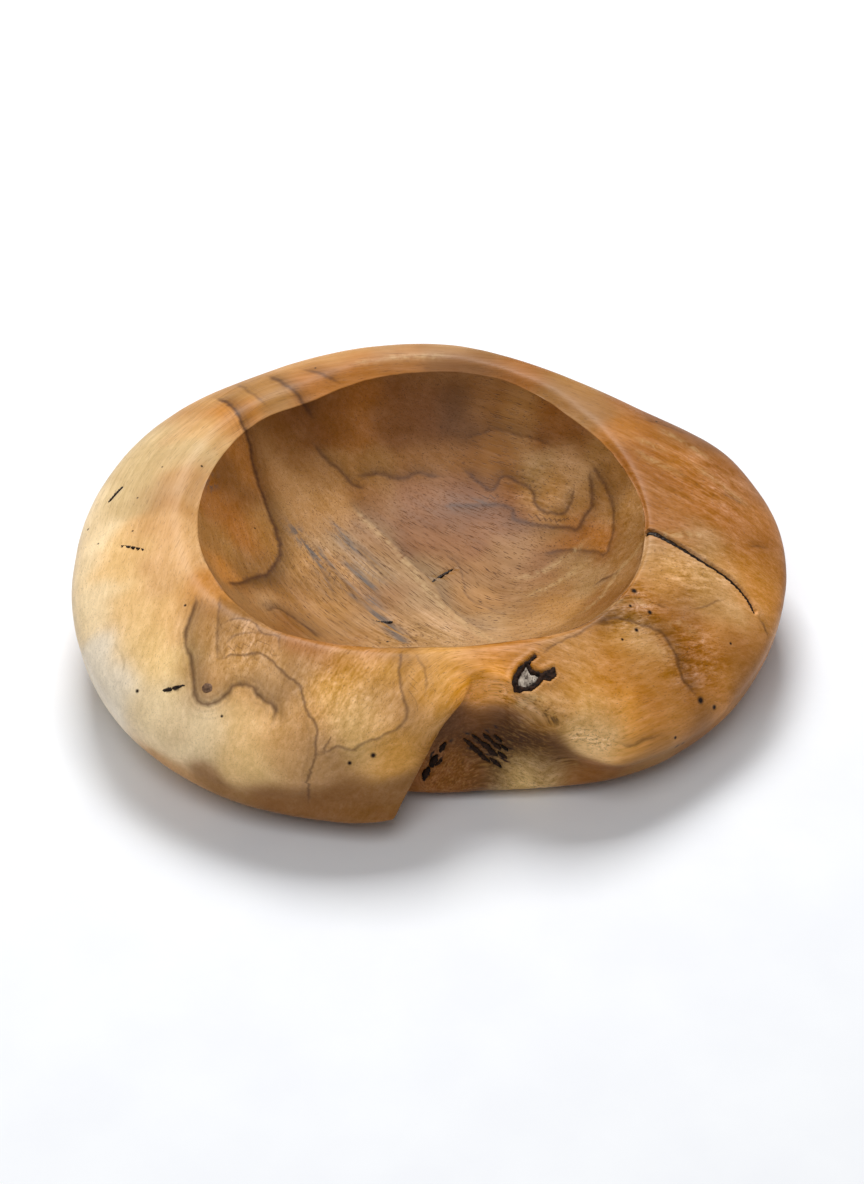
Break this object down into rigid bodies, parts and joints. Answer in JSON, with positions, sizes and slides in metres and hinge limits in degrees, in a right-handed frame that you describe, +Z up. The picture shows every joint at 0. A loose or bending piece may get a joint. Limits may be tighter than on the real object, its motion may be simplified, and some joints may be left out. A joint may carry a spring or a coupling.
{
  "type": "carved wooden bowl",
  "caption": "Free-form round bowl carved from one block of teak root, with a smooth shallow hollow, thick rolled rim and a natural fold in its front wall.",
  "frame": {"origin": "on the ground, in the flat resting face, under the axis of the round hollow", "axes": "+X along the bowl's longest side, +Z up out of the hollow, and the natural fold opens towards -Y"},
  "size_m": [0.3031, 0.2577, 0.0717],
  "materials": {
    "teak_root": "sanded and waxed, satin",
    "dark_resin": "dark filler, satin",
    "bark": "rough ingrown bark, matte",
    "dead_wood": "weathered dead wood, matte"
  },
  "bodies": {
    "root": {"bowl_body": "teak_root", "crack_filler": "dark_resin", "left_rim_check_filler": "dark_resin", "left_face_check_filler": "dark_resin", "front_check_filler": "dark_resin", "long_floor_check_filler": "dark_resin", "short_floor_check_filler": "dark_resin", "fold_bark_left": "bark", "fold_bark_middle": "bark", "knot_bark": "bark", "dead_knot": "dead_wood", "pin_knot": "dead_wood"}
  },
  "joints": []
}
